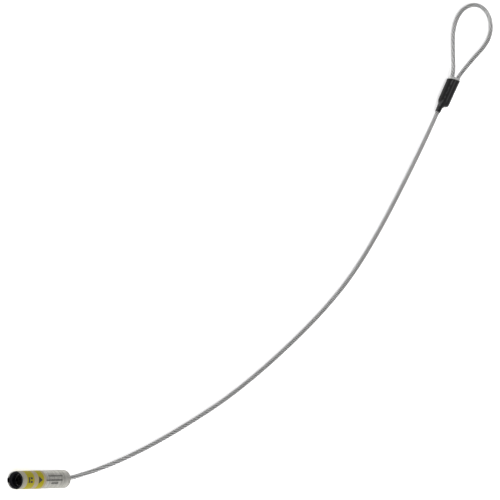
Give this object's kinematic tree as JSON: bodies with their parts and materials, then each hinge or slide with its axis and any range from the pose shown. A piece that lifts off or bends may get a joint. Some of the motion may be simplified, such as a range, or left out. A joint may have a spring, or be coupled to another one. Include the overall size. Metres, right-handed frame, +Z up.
{
  "type": "wire pulling grip with lanyard",
  "caption": "Steel tube grip with set screws and a swivelling coated wire-rope lanyard ending in a crimped pulling eye.",
  "frame": {"origin": "on the floor under the middle of the tube", "axes": "+X along the tube from its mouth to its nose, +Z up"},
  "size_m": [0.87, 0.5342, 0.0192],
  "materials": {
    "steel_tube": "satin turned steel",
    "black_nylon": "matt black",
    "label_film": "satin printed film, yellow bands on a pale ground",
    "black_oxide_steel": "black oxide",
    "swaged_steel": "swaged, dull zinc",
    "bronze": "plain bronze",
    "galvanised_wire": "bright galvanised wire",
    "clear_vinyl": "clear gloss",
    "ferrule_aluminium": "crimped, satin",
    "black_heat_shrink": "satin black"
  },
  "bodies": {
    "lanyard": {"wire_rope": "galvanised_wire", "clear_jacket": "clear_vinyl", "stop_sleeve": "swaged_steel", "thrust_washer": "bronze", "crimp_ferrule": "ferrule_aluminium", "heat_shrink": "black_heat_shrink"},
    "grip": {"grip_tube": "steel_tube", "mouth_bushing": "black_nylon", "size_label": "label_film"},
    "front_screw": {"set_screw_front": "black_oxide_steel"},
    "middle_screw": {"set_screw_middle": "black_oxide_steel"},
    "rear_screw": {"set_screw_rear": "black_oxide_steel"}
  },
  "joints": [
    {"name": "swivel", "type": "hinge", "parent": "lanyard", "child": "grip", "pos_m": [0.033, 0, 0.00953], "axis": [1, 0, 0], "continuous": true},
    {"name": "front_screw_advance", "type": "slide", "parent": "grip", "child": "front_screw", "axis": [0, 0.866, 0.5], "range_m": [0, 0.0018]},
    {"name": "middle_screw_advance", "type": "slide", "parent": "grip", "child": "middle_screw", "axis": [0, 0.866, 0.5], "range_m": [0, 0.0018]},
    {"name": "rear_screw_advance", "type": "slide", "parent": "grip", "child": "rear_screw", "axis": [0, 0.866, 0.5], "range_m": [0, 0.0018]}
  ]
}
